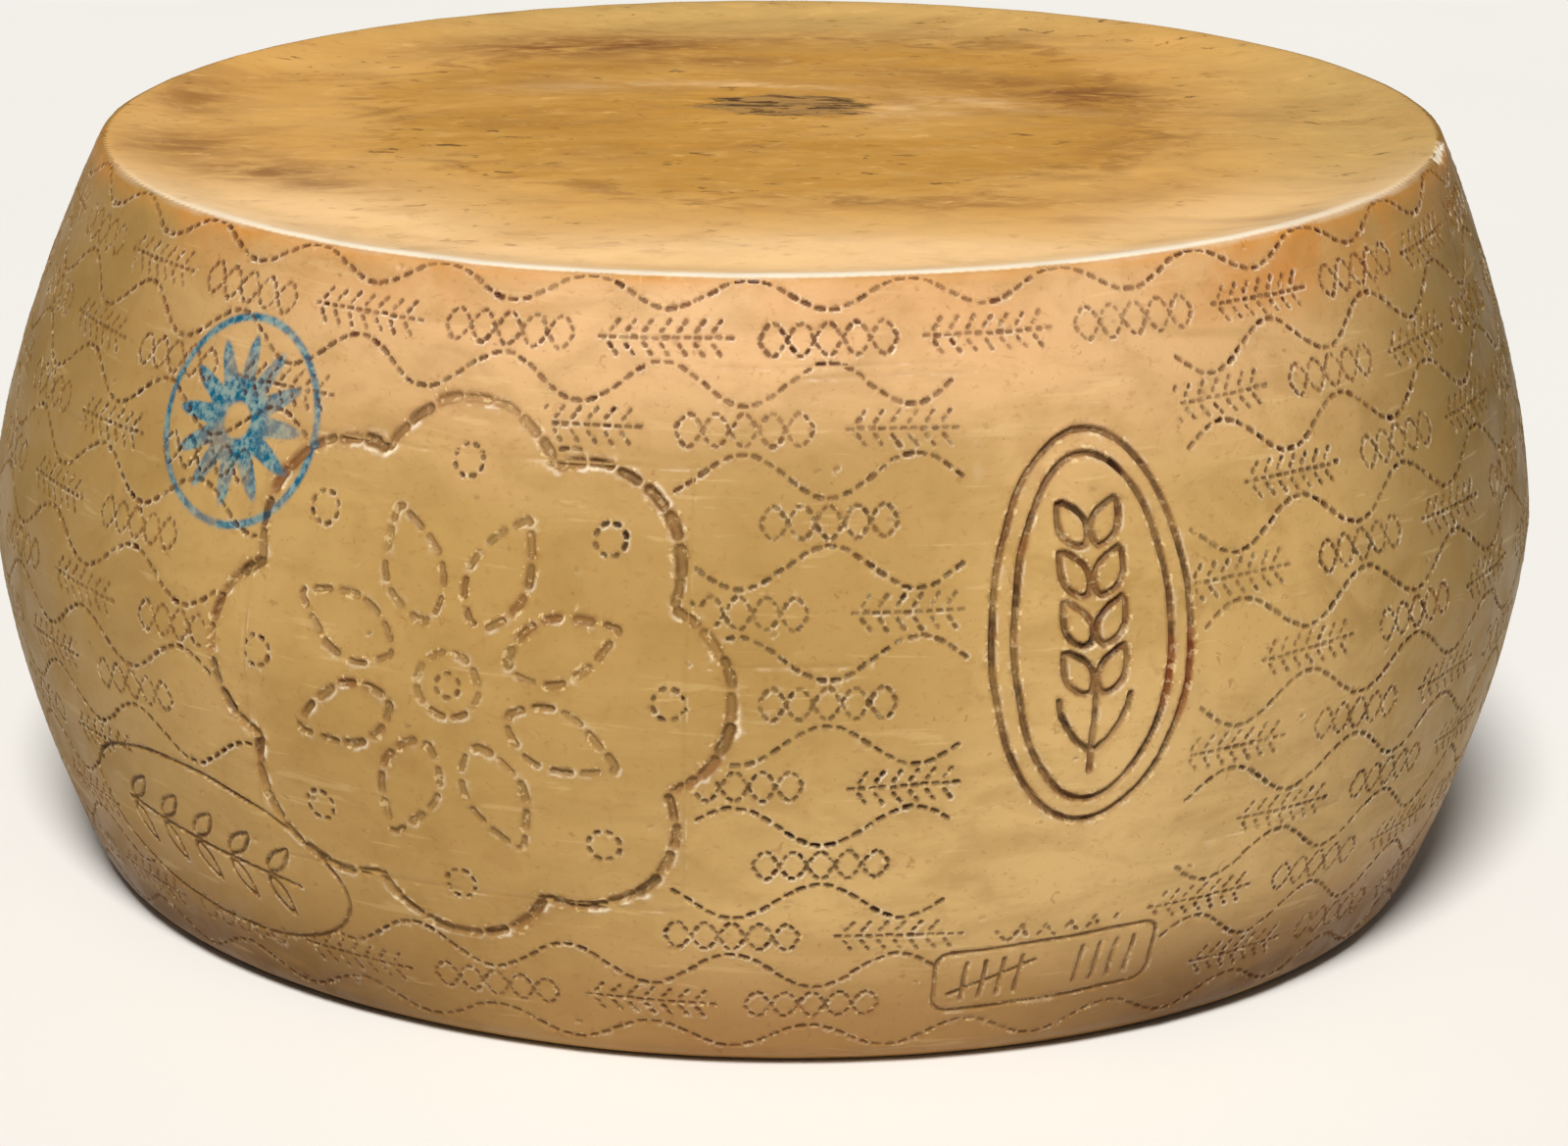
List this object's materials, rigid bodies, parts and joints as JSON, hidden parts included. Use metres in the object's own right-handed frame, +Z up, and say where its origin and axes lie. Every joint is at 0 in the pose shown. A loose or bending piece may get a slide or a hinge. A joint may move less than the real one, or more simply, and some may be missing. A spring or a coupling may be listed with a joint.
{
  "type": "cheese wheel",
  "caption": "Whole uncut wheel of hard aged cheese with a bulging heel, a raised rim round a slightly dished top, and marks pressed into the rind.",
  "frame": {"origin": "middle of the flat base that the wheel rests on", "axes": "+Z up through the middle of the wheel; -Y is the front, where the round medallion and the tall oval emblem are pressed in; +X to the right of someone facing the front, on the side where the heel is slightly higher"},
  "size_m": [0.44, 0.44, 0.2156],
  "materials": {
    "rind": "oiled, lightly glossy golden rind with darker blotches and brown pressed marks"
  },
  "bodies": {
    "root": {"cheese_wheel": "rind"}
  },
  "joints": []
}
